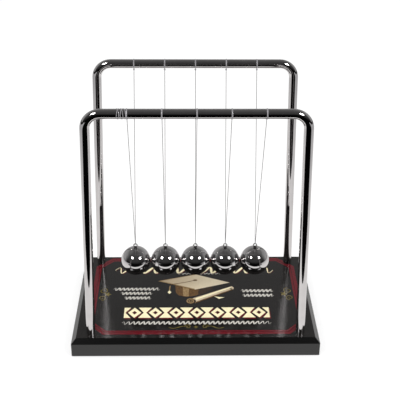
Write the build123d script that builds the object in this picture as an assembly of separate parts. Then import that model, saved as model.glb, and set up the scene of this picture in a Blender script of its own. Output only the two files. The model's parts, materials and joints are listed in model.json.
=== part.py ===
from build123d import *
import math
import os

# Newton's cradle, millimetres. X runs along the row of balls, +Y to the back, +Z up.
# The origin is on the surface the cradle stands on, under the middle of the base.

# Overall sizes
BASE_LENGTH = 180.0
BASE_DEPTH = 112.0
TOTAL_HEIGHT = 191.0
BASE_TOP = 14.4

# Base board
FOOT_THICKNESS = 0.4
BASE_BEVEL = 3.4
BASE_CORNER_RADIUS = 0.6
BASE_UNDERSIDE_CHAMFER = 0.3
SOCKET_DEPTH = 6.0

# Stick-on feet
FOOT_DIAMETER = 12.0
FOOT_X = 62.0
FOOT_Y = 46.0

# Frames: one rod each, bent to an upside-down U whose legs spread a little towards the base
ROD_DIAMETER = 6.6
FRAME_Y = 45.0
FRAME_WIDTH_TOP = 151.0
FRAME_WIDTH_BASE = 159.5
BEND_RADIUS = 10.5

# Screws up into the legs
SCREW_DIAMETER = 3.0
SCREW_LENGTH = 10.0
SCREW_HEAD_DIAMETER = 5.6
SCREW_HEAD_HEIGHT = 1.9
RECESS_WIDTH = 0.8
RECESS_LENGTH = 3.0
RECESS_DEPTH = 1.0
WASHER_DIAMETER = 8.0
WASHER_HOLE = 3.4
WASHER_THICKNESS = 0.8
COUNTERBORE_DIAMETER = 9.5
COUNTERBORE_DEPTH = 5.6
TAPPED_DEPTH = 8.0

# Balls
BALL_COUNT = 5
BALL_DIAMETER = 22.2
BALL_PITCH = 22.5
BALL_CENTRE_Z = 46.3
BALL_FLAT_DEPTH = 0.09

# Eye pressed into the top of each ball
EYE_WIRE = 0.75
EYE_RING_RADIUS = 1.3
EYE_RING_HEIGHT = 2.2
EYE_COLLAR_DIAMETER = 2.6
EYE_COLLAR_HEIGHT = 0.8
EYE_STEM_DIAMETER = 1.2
EYE_STEM_LENGTH = 4.0

# Strings: one line per ball, through its eye and up to both bars
STRING_DIAMETER = 0.4
STRING_BEND_RADIUS = 0.6
STRING_BEND_SLACK = 0.05
KNOT_DIAMETER = 1.3
KNOT_GAP = 0.05

# Loops of the same line wound round the bars, two turns side by side in a shallow groove
LOOP_LINE = 0.45
LOOP_TURN_PITCH = 0.42
LOOP_CLEARANCE = 0.01
GROOVE_DEPTH = 0.2
GROOVE_WIDTH = 1.1

SIDES = {"front": -1, "rear": 1}
ENDS = {"left": -1, "right": 1}

# Worked out from the sizes above
ROD_RADIUS = ROD_DIAMETER / 2
BAR_Z = TOTAL_HEIGHT - ROD_RADIUS
BAR_END_X = (FRAME_WIDTH_TOP - ROD_DIAMETER) / 2
LEG_BASE_X = (FRAME_WIDTH_BASE - ROD_DIAMETER) / 2
LEG_SLOPE = (LEG_BASE_X - BAR_END_X) / (BAR_Z - BASE_TOP)
SOCKET_Z = BASE_TOP - SOCKET_DEPTH
LEG_FOOT_X = LEG_BASE_X + LEG_SLOPE * SOCKET_DEPTH
COUNTERBORE_Z = FOOT_THICKNESS + COUNTERBORE_DEPTH
WASHER_Z = COUNTERBORE_Z - WASHER_THICKNESS
BALL_RADIUS = BALL_DIAMETER / 2
BALL_TOP = BALL_CENTRE_Z + BALL_RADIUS
EYE_SEAT_Z = BALL_TOP - BALL_FLAT_DEPTH
EYE_TOP_WIRE_Z = BALL_TOP + EYE_RING_HEIGHT + EYE_RING_RADIUS
LOOP_RADIUS = ROD_RADIUS - GROOVE_DEPTH + LOOP_LINE / 2 + LOOP_CLEARANCE
KNOT_OFFSET = LOOP_RADIUS + LOOP_LINE / 2 + KNOT_GAP + KNOT_DIAMETER / 2
STRING_ANGLE = math.atan2(FRAME_Y, BAR_Z - EYE_TOP_WIRE_Z)
KNOT_Y = FRAME_Y - KNOT_OFFSET * math.sin(STRING_ANGLE)
KNOT_Z = BAR_Z - KNOT_OFFSET * math.cos(STRING_ANGLE)


def ball_x(number):
    """X of a ball's centre and of its two knots; ball 1 is at the left."""
    return (number - (BALL_COUNT + 1) / 2) * BALL_PITCH


def upright(radius, height, x, y, z):
    """A vertical cylinder standing on z."""
    return Pos(x, y, z) * Cylinder(radius, height, align=(Align.CENTER, Align.CENTER, Align.MIN))


def leg_places():
    """The centre of each of the four leg ends."""
    return [(end * LEG_FOOT_X, side * FRAME_Y) for side in SIDES.values() for end in ENDS.values()]


def bent_rod(side):
    """The plain rod of one frame, from socket to socket."""
    y = side * FRAME_Y
    corners = [
        (-LEG_FOOT_X, y, SOCKET_Z),
        (-BAR_END_X, y, BAR_Z),
        (BAR_END_X, y, BAR_Z),
        (LEG_FOOT_X, y, SOCKET_Z),
    ]
    path = FilletPolyline(*corners, radius=BEND_RADIUS)
    return sweep(Plane(path @ 0, z_dir=path % 0) * Circle(ROD_RADIUS), path=path)


def frame(side):
    """The rod with a ring groove for each string loop and a tapped hole in each end."""
    y = side * FRAME_Y
    rod = bent_rod(side)
    for number in range(1, BALL_COUNT + 1):
        groove = Cylinder(ROD_RADIUS + 1, GROOVE_WIDTH) - Cylinder(ROD_RADIUS - GROOVE_DEPTH, GROOVE_WIDTH)
        rod -= Pos(ball_x(number), y, BAR_Z) * Rot(0, 90, 0) * groove
    for end in ENDS.values():
        rod -= upright(SCREW_DIAMETER / 2, TAPPED_DEPTH + 1, end * LEG_FOOT_X, y, SOCKET_Z - 1)
    return rod


def base_board():
    """A board with bevelled top edges, blind sockets for the legs and counterbored screw holes."""
    height = BASE_TOP - FOOT_THICKNESS
    board = Pos(0, 0, FOOT_THICKNESS + height / 2) * Box(BASE_LENGTH, BASE_DEPTH, height)
    board = chamfer(board.edges().group_by(Axis.Z)[-1], BASE_BEVEL)
    board = fillet(board.edges().filter_by(Axis.Z), BASE_CORNER_RADIUS)
    board = chamfer(board.edges().group_by(Axis.Z)[0], BASE_UNDERSIDE_CHAMFER)
    for x, y in leg_places():
        board -= upright(COUNTERBORE_DIAMETER / 2, COUNTERBORE_DEPTH + 1, x, y, FOOT_THICKNESS - 1)
        board -= upright(WASHER_HOLE / 2, SOCKET_Z, x, y, FOOT_THICKNESS)
    for side in SIDES.values():
        board -= bent_rod(side)
    return board


def foot(end, side):
    """A round stick-on pad."""
    return upright(FOOT_DIAMETER / 2, FOOT_THICKNESS, end * FOOT_X, side * FOOT_Y, 0)


def screw(x, y):
    """A pan-head screw pointing up, with a cross recess below."""
    head_z = WASHER_Z - SCREW_HEAD_HEIGHT
    body = upright(SCREW_HEAD_DIAMETER / 2, SCREW_HEAD_HEIGHT, x, y, head_z)
    body = fillet(body.edges().sort_by(Axis.Z)[0], SCREW_HEAD_HEIGHT / 3)
    body += upright(SCREW_DIAMETER / 2, SCREW_LENGTH, x, y, WASHER_Z)
    slot = Box(RECESS_LENGTH, RECESS_WIDTH, 2 * RECESS_DEPTH)
    cross = slot + Rot(0, 0, 90) * slot
    return body - Pos(x, y, head_z) * cross


def washer(x, y):
    """A flat washer against the roof of the counterbore."""
    disc = upright(WASHER_DIAMETER / 2, WASHER_THICKNESS, x, y, WASHER_Z)
    return disc - upright(WASHER_HOLE / 2, WASHER_THICKNESS, x, y, WASHER_Z)


def ball(number):
    """A steel ball with a small flat and a blind hole at the top for its eye."""
    x = ball_x(number)
    body = Pos(x, 0, BALL_CENTRE_Z) * Sphere(BALL_RADIUS)
    body -= upright(BALL_RADIUS, 1, x, 0, EYE_SEAT_Z)
    return body - upright(EYE_STEM_DIAMETER / 2, EYE_STEM_LENGTH + 1, x, 0, EYE_SEAT_Z - EYE_STEM_LENGTH)


def eye(number):
    """A ring whose hole faces front and back, on a collar and a stem pressed into the ball."""
    x = ball_x(number)
    ring = Pos(x, 0, BALL_TOP + EYE_RING_HEIGHT) * Rot(90, 0, 0) * Torus(EYE_RING_RADIUS, EYE_WIRE / 2)
    collar = upright(EYE_COLLAR_DIAMETER / 2, EYE_COLLAR_HEIGHT, x, 0, EYE_SEAT_Z)
    stem = upright(EYE_STEM_DIAMETER / 2, EYE_STEM_LENGTH, x, 0, EYE_SEAT_Z - EYE_STEM_LENGTH)
    return ring + collar + stem


def string_route(number):
    """Knot, two points under the eye's top wire, knot."""
    x = ball_x(number)
    low_z = EYE_TOP_WIRE_Z - STRING_BEND_RADIUS
    half = STRING_BEND_RADIUS * math.tan((math.pi / 2 - STRING_ANGLE) / 2) + STRING_BEND_SLACK
    return [
        Vector(x, -KNOT_Y, KNOT_Z),
        Vector(x, -half, low_z),
        Vector(x, half, low_z),
        Vector(x, KNOT_Y, KNOT_Z),
    ]


def string(number):
    """The line between a ball's two knots, bent round the top wire of the eye."""
    route = string_route(number)
    first = route[0] + (route[1] - route[0]).normalized() * (KNOT_DIAMETER / 2)
    last = route[3] + (route[2] - route[3]).normalized() * (KNOT_DIAMETER / 2)
    path = FilletPolyline(first, route[1], route[2], last, radius=STRING_BEND_RADIUS)
    line = sweep(Plane(path @ 0, z_dir=path % 0) * Circle(STRING_DIAMETER / 2), path=path)
    expected = math.pi * (STRING_DIAMETER / 2) ** 2 * path.length
    print("string", number, "length", round(path.length, 2), "volume ratio", round(line.volume / expected, 4))
    return line


def knot(number, side):
    """The knot below the bar, centred on the line that the ball swings about."""
    return Pos(ball_x(number), side * KNOT_Y, KNOT_Z) * Sphere(KNOT_DIAMETER / 2)


def loop(number, side):
    """Two turns of line round the bar, side by side."""
    turns = [
        Pos(ball_x(number) + offset, side * FRAME_Y, BAR_Z) * Rot(0, 90, 0) * Torus(LOOP_RADIUS, LOOP_LINE / 2)
        for offset in (-LOOP_TURN_PITCH / 2, LOOP_TURN_PITCH / 2)
    ]
    return turns[0] + turns[1]


def build():
    """Every node by name."""
    nodes = {"base_board": base_board()}
    nodes["frame_screws"] = Compound(children=[screw(x, y) for x, y in leg_places()])
    nodes["screw_washers"] = Compound(children=[washer(x, y) for x, y in leg_places()])
    for side_name, side in SIDES.items():
        nodes[f"{side_name}_frame"] = frame(side)
        for end_name, end in ENDS.items():
            nodes[f"foot_{side_name}_{end_name}"] = foot(end, side)
    for number in range(1, BALL_COUNT + 1):
        nodes[f"ball_{number}"] = ball(number)
        nodes[f"ball_eye_{number}"] = eye(number)
        nodes[f"string_{number}"] = string(number)
        for side_name, side in SIDES.items():
            nodes[f"{side_name}_knot_{number}"] = knot(number, side)
            nodes[f"{side_name}_loop_{number}"] = loop(number, side)
    return nodes


os.makedirs("parts", exist_ok=True)
for node_name, node in build().items():
    export_step(node, f"parts/{node_name}.step")
print("hinge line: y", round(KNOT_Y, 4), "z", round(KNOT_Z, 4), "eye top wire z", round(EYE_TOP_WIRE_Z, 4))
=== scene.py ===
import json
import math

import bmesh
import bpy
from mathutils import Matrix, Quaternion, Vector


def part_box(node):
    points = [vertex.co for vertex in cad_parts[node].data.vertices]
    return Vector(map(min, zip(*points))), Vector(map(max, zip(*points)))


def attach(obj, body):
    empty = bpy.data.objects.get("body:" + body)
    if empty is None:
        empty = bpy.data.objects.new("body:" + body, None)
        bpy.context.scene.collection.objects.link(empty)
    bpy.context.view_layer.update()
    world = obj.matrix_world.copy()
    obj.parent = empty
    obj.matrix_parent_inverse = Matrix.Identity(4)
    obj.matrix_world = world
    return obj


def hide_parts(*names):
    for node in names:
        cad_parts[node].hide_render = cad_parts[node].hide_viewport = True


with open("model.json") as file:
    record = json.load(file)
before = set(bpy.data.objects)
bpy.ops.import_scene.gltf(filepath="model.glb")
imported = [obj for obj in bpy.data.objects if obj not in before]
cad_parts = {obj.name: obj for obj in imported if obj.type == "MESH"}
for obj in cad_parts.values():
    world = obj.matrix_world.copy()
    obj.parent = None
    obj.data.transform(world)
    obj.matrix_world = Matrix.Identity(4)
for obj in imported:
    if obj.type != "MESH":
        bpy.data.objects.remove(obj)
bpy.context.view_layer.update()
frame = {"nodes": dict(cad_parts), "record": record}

MM = 0.001
BALLS = range(1, 6)
BAR_RADIUS = 3.3 * MM


# ---------------------------------------------------------------- camera

CAMERA_PLACE = Vector((-7.8, -552.5, 413.5)) * MM
CAMERA_LENS_MM = 78.07
CAMERA_SENSOR_MM = 36.0
CAMERA_NEAREST = 10 * MM
CAMERA_DOWN = math.radians(27.03)
CAMERA_RIGHT = math.radians(1.12)
CAMERA_ROLL = math.radians(0.46)
CAMERA_SHIFT_UP = -0.1


def make_camera():
    data = bpy.data.cameras.new("camera")
    data.lens = CAMERA_LENS_MM
    data.sensor_width = CAMERA_SENSOR_MM
    data.shift_y = CAMERA_SHIFT_UP
    data.clip_start = CAMERA_NEAREST
    camera = bpy.data.objects.new("camera", data)
    ahead = Vector((
        math.sin(CAMERA_RIGHT) * math.cos(CAMERA_DOWN),
        math.cos(CAMERA_RIGHT) * math.cos(CAMERA_DOWN),
        -math.sin(CAMERA_DOWN),
    ))
    camera.location = CAMERA_PLACE
    camera.rotation_mode = "QUATERNION"
    camera.rotation_quaternion = ahead.to_track_quat("-Z", "Y") @ Quaternion((0, 0, 1), CAMERA_ROLL)
    bpy.context.collection.objects.link(camera)
    bpy.context.scene.camera = camera


# ---------------------------------------------------------------- small helpers


def corners(node):
    """A CAD node's lowest and highest corners."""
    low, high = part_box(node)
    return Vector(low), Vector(high)


def middle(node):
    low, high = corners(node)
    return (low + high) / 2


def add_object(name, data, material, body):
    piece = bpy.data.objects.new(name, data)
    bpy.context.collection.objects.link(piece)
    piece.data.materials.append(material)
    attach(piece, body)
    return piece


def srgb(red, green, blue):
    """A screen colour of 0 to 255 as a linear colour."""
    def linear(value):
        value = value / 255
        return value / 12.92 if value <= 0.04045 else ((value + 0.055) / 1.055) ** 2.4
    return (linear(red), linear(green), linear(blue), 1.0)


# a Mix node's colour sockets share their names with its number sockets, so they are told by place
MIX_FIRST, MIX_SECOND, MIX_RESULT = 6, 7, 2


class Nodes:
    """A material's node tree, with a Principled shader to start from."""

    def __init__(self, name):
        self.material = bpy.data.materials.new(name)
        self.material.use_nodes = True
        self.tree = self.material.node_tree
        self.shader = self.tree.nodes["Principled BSDF"]
        self.place = self.add("ShaderNodeTexCoord").outputs["Object"]

    def add(self, kind, **settings):
        node = self.tree.nodes.new(kind)
        for key, value in settings.items():
            setattr(node, key, value)
        return node

    def link(self, source, target):
        self.tree.links.new(source, target)

    def set(self, **values):
        """Sets the shader's own sockets; an underscore stands for a space."""
        for key, value in values.items():
            self.shader.inputs[key.replace("_", " ")].default_value = value

    def noise(self, scale, detail=2.0, rough=0.5):
        texture = self.add("ShaderNodeTexNoise")
        texture.inputs["Scale"].default_value = scale
        texture.inputs["Detail"].default_value = detail
        texture.inputs["Roughness"].default_value = rough
        self.link(self.place, texture.inputs["Vector"])
        return texture.outputs["Fac"]

    def ranged(self, source, low, high, from_low=0.3, from_high=0.7):
        """Maps a socket's values from the given span, or else a noise's usual one, to low and high."""
        node = self.add("ShaderNodeMapRange")
        node.inputs["From Min"].default_value = from_low
        node.inputs["From Max"].default_value = from_high
        node.inputs["To Min"].default_value = low
        node.inputs["To Max"].default_value = high
        self.link(source, node.inputs["Value"])
        return node.outputs["Result"]

    def mix(self, factor, first, second):
        """Mixes two colours, each a value or a socket, by a socket."""
        node = self.add("ShaderNodeMix", data_type="RGBA")
        self.link(factor, node.inputs["Factor"])
        for socket, value in ((node.inputs[MIX_FIRST], first), (node.inputs[MIX_SECOND], second)):
            if isinstance(value, bpy.types.NodeSocket):
                self.link(value, socket)
            else:
                socket.default_value = value
        return node.outputs[MIX_RESULT]

    def bump(self, height, strength, distance):
        node = self.add("ShaderNodeBump")
        node.inputs["Strength"].default_value = strength
        node.inputs["Distance"].default_value = distance
        self.link(height, node.inputs["Height"])
        self.link(node.outputs["Normal"], self.shader.inputs["Normal"])


# ---------------------------------------------------------------- materials

GLOSS = {"Coat_Weight": 1.0, "Coat_Roughness": 0.14, "Coat_IOR": 1.58, "Specular_IOR_Level": 0.0}
INK_ROUGHNESS = 0.45


def mirror_metal(name, colour, dull, smooth, rough):
    """Polished metal with faint handling marks and a very slightly uneven face."""
    n = Nodes(name)
    n.set(Metallic=1.0)
    smudges = n.noise(90, 4)
    n.link(n.mix(n.ranged(smudges, 0, 1), colour, dull), n.shader.inputs["Base Color"])
    n.link(n.ranged(n.noise(160, 5, 0.6), smooth, rough), n.shader.inputs["Roughness"])
    n.bump(n.noise(900, 3), 0.05, 0.02 * MM)
    return n.material


def lacquer():
    """Black gloss lacquer, a shade lighter on the printed flat top."""
    n = Nodes("base_lacquer")
    n.set(Roughness=0.4, **GLOSS)
    normal = n.add("ShaderNodeSeparateXYZ")
    n.link(n.add("ShaderNodeNewGeometry").outputs["Normal"], normal.inputs["Vector"])
    leaning, level = 0.985, 0.999
    flat_top = n.ranged(normal.outputs["Z"], 0, 1, leaning, level)
    mottle = n.mix(n.noise(260, 3), srgb(20, 18, 17), srgb(25, 23, 22))
    n.link(n.mix(flat_top, srgb(5, 5, 5), mottle), n.shader.inputs["Base Color"])
    n.bump(n.noise(420, 2), 0.04, 0.03 * MM)
    return n.material


def printed(name, light, dark):
    """Glossy printing ink, a little uneven."""
    n = Nodes(name)
    n.set(Roughness=INK_ROUGHNESS, **GLOSS)
    n.link(n.mix(n.ranged(n.noise(700, 4), 0, 1), light, dark), n.shader.inputs["Base Color"])
    return n.material


def printed_blend(name, left, right, from_x, to_x):
    """Printing ink that changes from one colour to another from left to right."""
    n = Nodes(name)
    n.set(Roughness=INK_ROUGHNESS, **GLOSS)
    along = n.add("ShaderNodeSeparateXYZ")
    n.link(n.place, along.inputs["Vector"])
    blend = n.mix(n.ranged(along.outputs["X"], 0, 1, from_x, to_x), left, right)
    grain = n.ranged(n.noise(900, 4), 0, 0.35)
    n.link(n.mix(grain, blend, left), n.shader.inputs["Base Color"])
    return n.material


def nylon(name, light, dark, rough):
    """Nylon line, a little uneven in colour."""
    n = Nodes(name)
    n.set(Roughness=rough, IOR=1.53, Transmission_Weight=0.15)
    n.link(n.mix(n.noise(500, 2), light, dark), n.shader.inputs["Base Color"])
    return n.material


def rubber():
    n = Nodes("foot_rubber")
    n.link(n.mix(n.noise(900, 3), srgb(22, 22, 23), srgb(34, 34, 35)), n.shader.inputs["Base Color"])
    n.link(n.ranged(n.noise(1500, 4), 0.7, 0.95), n.shader.inputs["Roughness"])
    n.bump(n.noise(2500, 3), 0.4, 0.05 * MM)
    return n.material


CHROME = (0.66, 0.64, 0.64, 1)

MATERIALS = {
    "frame_chrome": mirror_metal("frame_chrome", CHROME, (0.60, 0.58, 0.58, 1), 0.02, 0.05),
    "ball_chrome": mirror_metal("ball_chrome", CHROME, (0.58, 0.57, 0.57, 1), 0.02, 0.06),
    "eye_steel": mirror_metal("eye_steel", (0.42, 0.41, 0.40, 1), (0.26, 0.25, 0.25, 1), 0.08, 0.2),
    "screw_steel": mirror_metal("screw_steel", (0.60, 0.60, 0.62, 1), (0.45, 0.45, 0.47, 1), 0.25, 0.4),
    "base_lacquer": lacquer(),
    "nylon_line": nylon("nylon_line", srgb(112, 109, 111), srgb(92, 89, 92), 0.35),
    "foot_rubber": rubber(),
}

# line pulled tight round the bar: a lighter copy of the nylon colour, a painted highlight for the glints
# it shows as it catches the lights
WOUND_LINE_PAINTED_GLINT = nylon("nylon_wound_painted_glint", srgb(172, 170, 173), srgb(104, 102, 104), 0.16)


def dress_cad_nodes():
    """Gives every CAD node its procedural material, by the record's material slot; loops and knots get
    the lighter wound nylon, a painted highlight.
    """
    for part in frame["record"]["subparts"]:
        name = part["node"]
        wound = "_loop_" in name or "_knot_" in name
        for slot in frame["nodes"][name].material_slots:
            slot.material = WOUND_LINE_PAINTED_GLINT if wound else MATERIALS[part["material_slot"]]


# ---------------------------------------------------------------- strings

STRING_DIAMETER = 0.4 * MM
STRING_BEND_RADIUS = 0.6 * MM
EYE_WIRE = 0.75 * MM
STRAIGHT_BEFORE_EYE = 6 * STRING_DIAMETER
STRING_ROUNDNESS = 3
STRING_SMOOTHNESS = 12


def make_string(number):
    """One line from the front knot, under the eye's top wire and up to the rear knot."""
    front, rear = middle(f"front_knot_{number}"), middle(f"rear_knot_{number}")
    x = front.x
    wire_z = corners(f"ball_eye_{number}")[1].z - EYE_WIRE / 2
    lean = math.atan2(rear.y, rear.z - wire_z)
    half = STRING_BEND_RADIUS * math.tan((math.pi / 2 - lean) / 2)
    bends = [Vector((x, side * half, wire_z - STRING_BEND_RADIUS)) for side in (-1, 1)]
    toward = [(end - bend).normalized() for end, bend in zip((front, rear), bends)]
    route = [
        front,
        bends[0] + toward[0] * STRAIGHT_BEFORE_EYE,
        bends[0],
        bends[1],
        bends[1] + toward[1] * STRAIGHT_BEFORE_EYE,
        rear,
    ]
    curve = bpy.data.curves.new(f"string_line_{number}", "CURVE")
    curve.dimensions = "3D"
    curve.bevel_depth = STRING_DIAMETER / 2
    curve.bevel_resolution = STRING_ROUNDNESS
    curve.resolution_u = STRING_SMOOTHNESS
    spline = curve.splines.new("NURBS")
    spline.points.add(len(route) - 1)
    for point, place in zip(spline.points, route):
        point.co = (*place, 1)
    spline.order_u = 3
    spline.use_endpoint_u = True
    piece = add_object(f"string_line_{number}", curve, MATERIALS["nylon_line"], f"pendulum_{number}")
    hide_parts(f"string_{number}")


# ---------------------------------------------------------------- printed top

TOP = corners("base_board")[1].z
SUNK = 0.05 * MM
LAYER = 0.02 * MM

INK = {
    "red": printed("ink_red", srgb(98, 16, 27), srgb(76, 12, 20)),
    "dark_red": printed("ink_dark_red", srgb(74, 6, 12), srgb(54, 5, 8)),
    "cream": printed("ink_cream", srgb(244, 236, 196), srgb(234, 222, 180)),
    "beige": printed("ink_beige", srgb(208, 192, 166), srgb(184, 164, 134)),
    "board": printed_blend("ink_board", srgb(180, 160, 130), srgb(226, 214, 186), -22 * MM, 16 * MM),
    "tan": printed("ink_tan", srgb(158, 132, 92), srgb(122, 96, 58)),
    "brown": printed("ink_brown", srgb(104, 74, 36), srgb(74, 50, 24)),
    "dark_brown": printed("ink_dark_brown", srgb(58, 40, 25), srgb(40, 28, 17)),
    "gold": printed("ink_gold", srgb(106, 94, 44), srgb(78, 68, 30)),
    "pale": printed("ink_pale", srgb(208, 205, 197), srgb(180, 176, 168)),
    "black": printed("ink_black", srgb(10, 9, 9), srgb(14, 12, 12)),
}


def inlay(name, shapes, layer, ink):
    """Flat printed shapes on the board's top, in millimetres.

    Each is a closed outline, or the (left, right) edges of a line.
    """
    mesh = bmesh.new()

    def vertex(point):
        return mesh.verts.new((point[0] * MM, point[1] * MM, TOP - SUNK))

    for shape in shapes:
        if isinstance(shape, tuple):
            left, right = [[vertex(point) for point in edge] for edge in shape]
            faces = [
                mesh.faces.new((left[i], left[i + 1], right[i + 1], right[i]))
                for i in range(len(left) - 1)
            ]
        else:
            faces = [mesh.faces.new([vertex(point) for point in shape])]
        raised = bmesh.ops.extrude_face_region(mesh, geom=faces)["geom"]
        moved = [item for item in raised if isinstance(item, bmesh.types.BMVert)]
        bmesh.ops.translate(mesh, verts=moved, vec=(0, 0, SUNK + layer * LAYER))
    bmesh.ops.recalc_face_normals(mesh, faces=mesh.faces)
    data = bpy.data.meshes.new(name)
    mesh.to_mesh(data)
    mesh.free()
    piece = add_object(name, data, INK[ink], "stand")
    piece.visible_glossy = False


def octagon(half_x, half_y, cut):
    """The corners of a rectangle with its corners cut off, anticlockwise."""
    quarter = [(half_x, half_y - cut), (half_x - cut, half_y)]
    return (
        quarter
        + [(-x, y) for x, y in reversed(quarter)]
        + [(-x, -y) for x, y in quarter]
        + [(x, -y) for x, y in reversed(quarter)]
    )


PRINT_CENTRE = (0.7, 0.9)
BORDER_HALF = (80.4, 49.7)
BORDER_CUT = 12.2
BORDER_WIDTH = 4.5
BORDER_LINE = (0.3, 0.8)
LEG_CLEARANCE = 3.5
BITE_STEPS = 8


def bitten(start, end, leg):
    """The points of an edge from start to end that goes round the inner side of a leg in its way."""
    run = math.hypot(end[0] - start[0], end[1] - start[1])
    ahead = ((end[0] - start[0]) / run, (end[1] - start[1]) / run)
    offset = (leg[1] - start[1]) * ahead[0] - (leg[0] - start[0]) * ahead[1]
    if abs(offset) >= LEG_CLEARANCE:
        return [start, end]
    # octagon() goes anticlockwise, so the print's inside is on the left of each edge
    widest = math.acos(-offset / LEG_CLEARANCE)
    bite = []
    for i in range(BITE_STEPS + 1):
        angle = widest * (1 - 2 * i / BITE_STEPS)
        back, inward = LEG_CLEARANCE * math.sin(angle), LEG_CLEARANCE * math.cos(angle)
        bite.append((
            leg[0] - ahead[0] * back - ahead[1] * inward,
            leg[1] - ahead[1] * back + ahead[0] * inward,
        ))
    return [start] + bite + [end]


def make_border():
    """An eight-sided border with a dark line along its middle, cut away round the legs."""
    def ring(inset):
        cut = BORDER_CUT - inset * (2 - math.sqrt(2))
        places = octagon(BORDER_HALF[0] - inset, BORDER_HALF[1] - inset, cut)
        return [(x + PRINT_CENTRE[0], y + PRINT_CENTRE[1]) for x, y in places]

    frame_low, frame_high = corners("front_frame")
    leg_x = (frame_high.x - BAR_RADIUS) / MM
    leg_y = -(frame_low.y + frame_high.y) / 2 / MM

    def sides(outer, inner):
        bands = []
        for i, start in enumerate(outer):
            following = (i + 1) % len(outer)
            end = outer[following]
            edge = [start, end]
            if i % 2 == 0:
                leg = (math.copysign(leg_x, start[0]), math.copysign(leg_y, start[1]))
                edge = bitten(start, end, leg)
            bands.append(edge + [inner[following], inner[i]])
        return bands

    line_outer, line_inner = [ring(BORDER_WIDTH / 2 + offset) for offset in BORDER_LINE]
    inlay("print_border", sides(ring(0), ring(BORDER_WIDTH)), 1, "red")
    inlay("print_border_line", sides(line_outer, line_inner), 2, "dark_red")


def ribbon(points, widths):
    """The left and right edges of a line of varying width along a list of points."""
    left, right = [], []
    for i, (x, y) in enumerate(points):
        ax, ay = points[max(i - 1, 0)]
        bx, by = points[min(i + 1, len(points) - 1)]
        run = math.hypot(bx - ax, by - ay)
        across = (-(by - ay) / run * widths[i] / 2, (bx - ax) / run * widths[i] / 2)
        left.append((x + across[0], y + across[1]))
        right.append((x - across[0], y - across[1]))
    return left, right


WAVE_STEPS_A_TURN = 14
WAVE_SLANT = 0.35


def wave(x0, x1, y, height, turns, width):
    """A running wave ornament that tapers at both ends."""
    steps = WAVE_STEPS_A_TURN * turns
    points, widths = [], []
    for i in range(steps + 1):
        t = i / steps
        angle = 2 * math.pi * turns * t
        rise = height / 2 * math.sin(angle)
        points.append((x0 + (x1 - x0) * t + WAVE_SLANT * rise, y + rise))
        swell = 0.5 + 0.5 * abs(math.cos(angle))
        taper = min(1, 8 * t + 0.15, 8 * (1 - t) + 0.15)
        widths.append(width * swell * taper)
    return ribbon(points, widths)


SPIRAL_STEPS_A_TURN = 26
SPIRAL_WIND_IN = 0.85


def spiral(x, y, radius, start, turns, width, hand=1):
    """A scroll end: a line that winds in to a small eye, anticlockwise unless hand is -1."""
    steps = int(SPIRAL_STEPS_A_TURN * turns)
    points, widths = [], []
    for i in range(steps + 1):
        t = i / steps
        angle = start + hand * 2 * math.pi * turns * t
        reach = radius * (1 - SPIRAL_WIND_IN * t)
        points.append((x + reach * math.cos(angle), y + reach * math.sin(angle)))
        widths.append(width * (0.5 + 0.5 * math.sin(math.pi * min(1, t + 0.15))))
    return ribbon(points, widths)


def lozenge(x, y, half_x, half_y):
    return [(x + half_x, y), (x, y + half_y), (x - half_x, y), (x, y - half_y)]


def hourglass(x, y, half_top, half_waist, half_y):
    return [
        (x + half_top, y + half_y), (x - half_top, y + half_y), (x - half_waist, y),
        (x - half_top, y - half_y), (x + half_top, y - half_y), (x + half_waist, y),
    ]


ROSETTE_STEPS = 48


def petals(x, y, half_x, half_y, count, depth=0.28):
    """A rosette outline with round petals."""
    outline = []
    for i in range(ROSETTE_STEPS):
        angle = 2 * math.pi * i / ROSETTE_STEPS
        reach = 1 - depth + depth * math.cos(count * angle)
        outline.append((x + half_x * reach * math.cos(angle), y + half_y * reach * math.sin(angle)))
    return outline


def oval(x, y, half_x, half_y):
    return petals(x, y, half_x, half_y, 0, 0)


BAND_CENTRE = (1.1, -23.0)
BAND_HALF_HEIGHT = 6.2
BAND_PITCH = 15.6
LOZENGE_HALF_WIDTH = 5.0
HOURGLASS_HALF_WIDTH = 4.9
HOURGLASS_HALF_WAIST = 0.9
HEART_HALF = (1.9, 2.2)
BAND_SHADOW = (0.7, -1.4)


def shifted(shape, move):
    if isinstance(shape, tuple):
        return tuple(shifted(edge, move) for edge in shape)
    return [(x + move[0], y + move[1]) for x, y in shape]


def make_headline():
    """A band of lozenges between hourglasses, with a red drop shadow and dark-red centres."""
    x0, y = BAND_CENTRE
    low, high = y - BAND_HALF_HEIGHT, y + BAND_HALF_HEIGHT
    lozenge_places = [x0 + i * BAND_PITCH for i in range(-3, 4)]
    shapes = [lozenge(x, y, LOZENGE_HALF_WIDTH, BAND_HALF_HEIGHT) for x in lozenge_places]
    for i in range(-3, 3):
        x = x0 + (i + 0.5) * BAND_PITCH
        shapes.append(hourglass(x, y, HOURGLASS_HALF_WIDTH, HOURGLASS_HALF_WAIST, BAND_HALF_HEIGHT))
    for side in (-1, 1):
        end = x0 + side * 3.5 * BAND_PITCH
        inner, waist = end - side * HOURGLASS_HALF_WIDTH, end - side * HOURGLASS_HALF_WAIST
        shapes.append([(end, high), (inner, high), (waist, y), (inner, low), (end, low)])
    hearts = [lozenge(x, y, *HEART_HALF) for x in lozenge_places]
    inlay("print_band_shadow", [shifted(shape, BAND_SHADOW) for shape in shapes], 1, "red")
    inlay("print_band", shapes, 2, "cream")
    inlay("print_band_centres", hearts, 3, "dark_red")


LINE_HEIGHT = 3.4
LINE_WIDTH = 1.1
REAR_WAVE_SHADOW = (0.5, -0.8)


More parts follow.
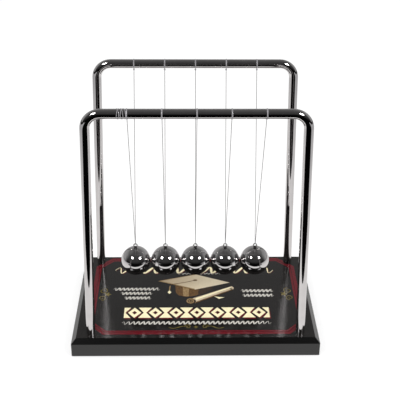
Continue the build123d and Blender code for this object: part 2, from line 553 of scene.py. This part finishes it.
def make_wave_lines():
    """Wave ornaments in rows of their own, large and small."""
    pale = [
        wave(-63.5, -27.6, 7.2, LINE_HEIGHT, 11, LINE_WIDTH),
        wave(-57.6, -33.2, 1.6, LINE_HEIGHT, 8, LINE_WIDTH),
        wave(-54.5, -33.9, -4.4, LINE_HEIGHT, 7, LINE_WIDTH),
        wave(36.0, 61.0, 4.6, LINE_HEIGHT, 8, LINE_WIDTH),
        wave(36.7, 61.0, -1.4, LINE_HEIGHT, 8, LINE_WIDTH),
        wave(-54.5, 56.0, -35.4, LINE_HEIGHT, 30, LINE_WIDTH),
        wave(-14.5, 21.0, 28.2, 1.5, 12, 0.6),
    ]
    inlay("print_waves", pale, 1, "pale")
    rear = wave(-64, 63.5, 33.0, 8.0, 14, 2.0)
    inlay("print_rear_wave_shadow", [shifted(rear, REAR_WAVE_SHADOW)], 1, "red")
    inlay("print_rear_wave", [rear], 2, "cream")


FLOURISH_OUT = 72.0


def make_flourishes():
    """Gold scrolls and rosettes at both sides of the print and along its front."""
    gold = []
    middle_x = PRINT_CENTRE[0]
    for side in (-1, 1):
        x = middle_x + side * FLOURISH_OUT
        gold += [
            spiral(x, 5.0, 3.6, math.pi / 2, 1.4, 0.7, side),
            spiral(x + side * 0.6, -4.4, 3.2, -math.pi / 2, 1.4, 0.7, -side),
            petals(x - side * 3.6, 0.4, 2.8, 2.8, 5),
            wave(middle_x + side * 6, middle_x + side * 20.5, -40.6, 2.6, 1, 0.8),
            spiral(middle_x + side * 6.5, -40.0, 2.6, 0 if side > 0 else math.pi, 1.3, 0.6, side),
        ]
    gold.append(petals(middle_x - 0.6, -40.4, 1.6, 1.6, 4))
    inlay("print_flourishes", gold, 1, "gold")


def make_cap_picture():
    """A generic flat-topped cap with a tassel, over a rolled sheet."""
    left, near, right, far = (-29.1, 17.9), (-0.1, 6.3), (27.4, 15.6), (0.5, 27.1)
    button = (0.3, 19.0)
    inlay("print_cap_body", [[
        (-15.6, 12.5), (-15.0, 2.5), (-13.0, -1.4), (-7.0, -3.4),
        (0.0, -2.6), (7.0, 1.0), (13.6, 7.0), (13.8, 12.0),
    ]], 1, "dark_brown")
    inlay("print_cap_side", [[
        (-15.6, 12.3), (-14.9, 2.7), (-12.9, -1.0), (-7.0, -3.0), (-2.5, -2.4), (2.5, -0.4), (2.8, 7.6),
    ]], 2, "brown")
    inlay("print_cap_light", [[
        (-9.5, 9.6), (-9.3, -1.6), (-7.2, -2.5), (-5.0, -2.4), (-4.6, 7.6),
    ]], 3, "tan")
    inlay("print_cap_board", [[left, near, right, far]], 4, "board")
    inlay("print_cap_shade", [
        [left, near, (-0.1, 7.3), (-27.0, 18.0)],
        [left, (-27.6, 17.9), (0.2, 26.5), far],
    ], 6, "tan")
    inlay("print_cap_button", [oval(*button, 1.6, 0.9)], 7, "brown")
    cord = ribbon([button, (-6.0, 16.6), (-12.0, 14.9), (-18.6, 13.2)], [0.5, 0.6, 0.6, 0.7])
    inlay("print_tassel_cord", [cord], 7, "brown")
    drop = ribbon([(-19.4, 11.6), (-19.8, 8.4), (-19.9, 5.0)], [0.7, 1.0, 0.8])
    inlay("print_tassel_drop", [drop], 2, "tan")
    fringe = ribbon([(-20.0, 2.6), (-20.3, -1.0), (-20.9, -5.4)], [1.6, 3.2, 3.6])
    inlay("print_tassel_fringe", [fringe], 2, "black")
    inlay("print_tassel_bead", [lozenge(-19.9, 3.0, 1.5, 2.3)], 3, "cream")
    roll = ribbon([(-1.5, -8.4), (8.0, -3.4), (18.0, 2.2), (28.6, 8.1)], [6.2, 5.6, 5.0, 4.2])
    inlay("print_roll", [roll, oval(28.8, 8.2, 1.6, 2.2)], 4, "beige")
    shine = ribbon([(0.5, -6.2), (9.0, -1.6), (18.0, 3.6), (28.2, 9.2)], [1.8, 1.8, 1.6, 1.2])
    inlay("print_roll_shine", [shine], 5, "cream")
    inlay("print_roll_shade", [
        ribbon([(0.0, -10.6), (9.0, -5.4), (19.0, 0.4), (29.4, 6.3)], [1.2, 1.2, 1.1, 0.8]),
    ], 5, "brown")
    inlay("print_roll_end", [oval(-3.4, -8.8, 4.0, 3.6)], 6, "dark_brown")
    inlay("print_roll_spiral", [spiral(-3.4, -8.8, 3.4, 0.6, 2.0, 0.9)], 7, "tan")
    inlay("print_roll_ribbon", [
        [(14.6, -2.6), (18.0, -3.4), (22.8, -4.0), (20.0, -5.0), (18.4, -6.0), (17.2, -4.6)],
    ], 2, "cream")


# ---------------------------------------------------------------- line wound on the front bar

SPARE_WIRE = 0.21 * MM
SPARE_RISE = 0.02 * MM
SPARE_TURNS = ((-52.2, -49.8), (-50.0, -51.3), (-49.6, -47.2), (-47.4, -48.9), (-47.6, -45.4))
TURN_STEPS = 40
SPARE_WIRE_SIDES = 8


def make_spare_turns():
    """A few untidy extra turns of line on the front bar, left of the first loop."""
    frame_low, frame_high = corners("front_frame")
    bar_y = (frame_low.y + frame_high.y) / 2
    bar_z = frame_high.z - BAR_RADIUS
    mesh = bmesh.new()
    for start_x, end_x in SPARE_TURNS:
        rings = []
        for i in range(TURN_STEPS):
            angle = 2 * math.pi * i / TURN_STEPS
            sway = 0.5 - 0.5 * math.cos(angle)
            x = (start_x + (end_x - start_x) * sway) * MM
            out = Vector((0, math.cos(angle), math.sin(angle)))
            centre = Vector((x, bar_y, bar_z)) + out * (BAR_RADIUS + SPARE_RISE)
            ring = []
            for k in range(SPARE_WIRE_SIDES):
                turn = 2 * math.pi * k / SPARE_WIRE_SIDES
                outward, along = SPARE_WIRE * math.cos(turn), SPARE_WIRE * math.sin(turn)
                ring.append(mesh.verts.new(centre + out * outward + Vector((along, 0, 0))))
            rings.append(ring)
        for i in range(TURN_STEPS):
            first, second = rings[i], rings[(i + 1) % TURN_STEPS]
            for k in range(SPARE_WIRE_SIDES):
                following = (k + 1) % SPARE_WIRE_SIDES
                mesh.faces.new((first[k], first[following], second[following], second[k]))
    bmesh.ops.recalc_face_normals(mesh, faces=mesh.faces)
    for face in mesh.faces:
        face.smooth = True
    data = bpy.data.meshes.new("front_spare_turns")
    mesh.to_mesh(data)
    mesh.free()
    # the spare turns take the lighter wound nylon, a painted highlight
    piece = add_object("front_spare_turns", data, WOUND_LINE_PAINTED_GLINT, "stand")


# ---------------------------------------------------------------- stage and light

FLOOR_REACH = 3.0
FLOOR_GLOW = 0.62
TABLE_RISE = 0.3 * MM
TABLE_FADE = (0.10, 0.55)
TABLE_OUTLINE = (
    (-1500, -1500), (-520, -900), (-420, -420), (-300, -185), (-215, -122),
    (0, -128), (235, -136), (345, -240), (520, -460), (700, -900), (1500, -1500),
    (1500, 1500), (-1500, 1500),
)
SOFTBOX_AWAY = 0.9
SOFTBOX_SIDE = 0.19
SOFTBOX_POWER = 2.3
SOFTBOX_AIM = Vector((0, 0, 0.05))
SOFTBOX_LEFT = (-41, 44)
SOFTBOX_RIGHT = (45, 41)


def flat_stage(name, outline, z):
    data = bpy.data.meshes.new(name)
    data.from_pydata([(x, y, z) for x, y in outline], [], [tuple(range(len(outline)))])
    piece = bpy.data.objects.new(name, data)
    bpy.context.collection.objects.link(piece)
    return piece


def make_floor():
    """The plain pale floor. Polished pieces reflect the lit table instead."""
    reach = FLOOR_REACH
    outline = ((-reach, -reach), (reach, -reach), (reach, reach), (-reach, reach))
    floor = flat_stage("floor", outline, 0)
    n = Nodes("floor_paper")
    n.set(Roughness=0.85, Specular_IOR_Level=0.2)
    n.set(Emission_Color=(1.0, 1.0, 1.0, 1), Emission_Strength=FLOOR_GLOW)
    paper = n.mix(n.noise(6, 2), (0.34, 0.34, 0.34, 1), (0.36, 0.36, 0.36, 1))
    n.link(paper, n.shader.inputs["Base Color"])
    floor.data.materials.append(n.material)
    floor.visible_glossy = False


def make_table():
    """The lit table that polished pieces reflect: brightest near the cradle, with a dark gap in front."""
    table = flat_stage("table", [(x * MM, y * MM) for x, y in TABLE_OUTLINE], TABLE_RISE)
    n = Nodes("table_glow")
    tree = n.tree
    tree.nodes.remove(n.shader)
    glow = n.add("ShaderNodeEmission")
    radius = n.add("ShaderNodeVectorMath", operation="LENGTH")
    n.link(n.place, radius.inputs[0])
    fade = n.ranged(radius.outputs["Value"], 0, 1, *TABLE_FADE)
    n.link(n.mix(fade, (1.0, 0.99, 0.98, 1), (0.50, 0.50, 0.51, 1)), glow.inputs["Color"])
    n.link(glow.outputs["Emission"], tree.nodes["Material Output"].inputs["Surface"])
    table.data.materials.append(n.material)
    for kind in ("camera", "diffuse", "transmission", "volume_scatter", "shadow"):
        setattr(table, f"visible_{kind}", False)


def make_softbox(name, azimuth, elevation):
    """A square light at an azimuth from the front and an elevation, in degrees, facing the cradle."""
    data = bpy.data.lights.new(name, "AREA")
    data.shape = "SQUARE"
    data.size = SOFTBOX_SIDE
    data.energy = SOFTBOX_POWER
    light = bpy.data.objects.new(name, data)
    a, e = math.radians(azimuth), math.radians(elevation)
    away = Vector((math.sin(a) * math.cos(e), -math.cos(a) * math.cos(e), math.sin(e)))
    light.location = SOFTBOX_AIM + away * SOFTBOX_AWAY
    light.rotation_mode = "QUATERNION"
    light.rotation_quaternion = away.to_track_quat("Z", "Y")
    bpy.context.collection.objects.link(light)


SKY_STRENGTH = 1.05
# the room ahead gives way to the room behind between these y of the direction
ROOM_BLEND = (-0.3, 0.2)
# (height of the direction, grey), from the horizon up
ROOM_BEHIND = (
    (0.0, 0.01), (0.02, 0.48), (0.30, 0.36), (0.58, 0.28),
    (0.64, 0.17), (0.85, 0.16), (0.95, 0.12), (1.0, 0.09),
)
ROOM_AHEAD = ((0.0, 0.002), (0.12, 0.02), (0.30, 0.045), (0.80, 0.06), (1.0, 0.09))


def make_world():
    """White to the eye; in reflections a dim room, paler behind the cradle than in front."""
    world = bpy.data.worlds.new("studio")
    bpy.context.scene.world = world
    world.use_nodes = True
    tree = world.node_tree
    tree.nodes.clear()

    def add(kind, **settings):
        node = tree.nodes.new(kind)
        for key, value in settings.items():
            setattr(node, key, value)
        return node

    def by_height(stops):
        """A grey that changes with the height of the direction, from the horizon up."""
        ramp = add("ShaderNodeValToRGB")
        for _ in stops[2:]:
            ramp.color_ramp.elements.new(0.5)
        for element, (position, level) in zip(ramp.color_ramp.elements, stops):
            element.position = position
            element.color = (level, level, level, 1)
        tree.links.new(direction.outputs["Z"], ramp.inputs["Fac"])
        return ramp.outputs["Color"]

    direction = add("ShaderNodeSeparateXYZ")
    tree.links.new(add("ShaderNodeTexCoord").outputs["Generated"], direction.inputs["Vector"])
    behind = add("ShaderNodeMapRange")
    behind.inputs["From Min"].default_value, behind.inputs["From Max"].default_value = ROOM_BLEND
    tree.links.new(direction.outputs["Y"], behind.inputs["Value"])
    room = add("ShaderNodeMix", data_type="RGBA")
    tree.links.new(behind.outputs["Result"], room.inputs["Factor"])
    tree.links.new(by_height(ROOM_AHEAD), room.inputs[MIX_FIRST])
    tree.links.new(by_height(ROOM_BEHIND), room.inputs[MIX_SECOND])
    seen = add("ShaderNodeMix", data_type="RGBA")
    seen.inputs[MIX_FIRST].default_value = (1.0, 1.0, 1.0, 1)
    tree.links.new(add("ShaderNodeLightPath").outputs["Is Glossy Ray"], seen.inputs["Factor"])
    tree.links.new(room.outputs[MIX_RESULT], seen.inputs[MIX_SECOND])
    background = add("ShaderNodeBackground")
    background.inputs["Strength"].default_value = SKY_STRENGTH
    tree.links.new(seen.outputs[MIX_RESULT], background.inputs["Color"])
    output = add("ShaderNodeOutputWorld")
    tree.links.new(background.outputs["Background"], output.inputs["Surface"])


# ---------------------------------------------------------------- everything

make_camera()
for number in BALLS:
    make_string(number)
dress_cad_nodes()
make_border()
make_headline()
make_wave_lines()
make_flourishes()
make_cap_picture()
make_spare_turns()
make_floor()
make_table()
make_softbox("softbox_left", *SOFTBOX_LEFT)
make_softbox("softbox_right", *SOFTBOX_RIGHT)
make_world()
bpy.context.scene.view_settings.view_transform = "Standard"
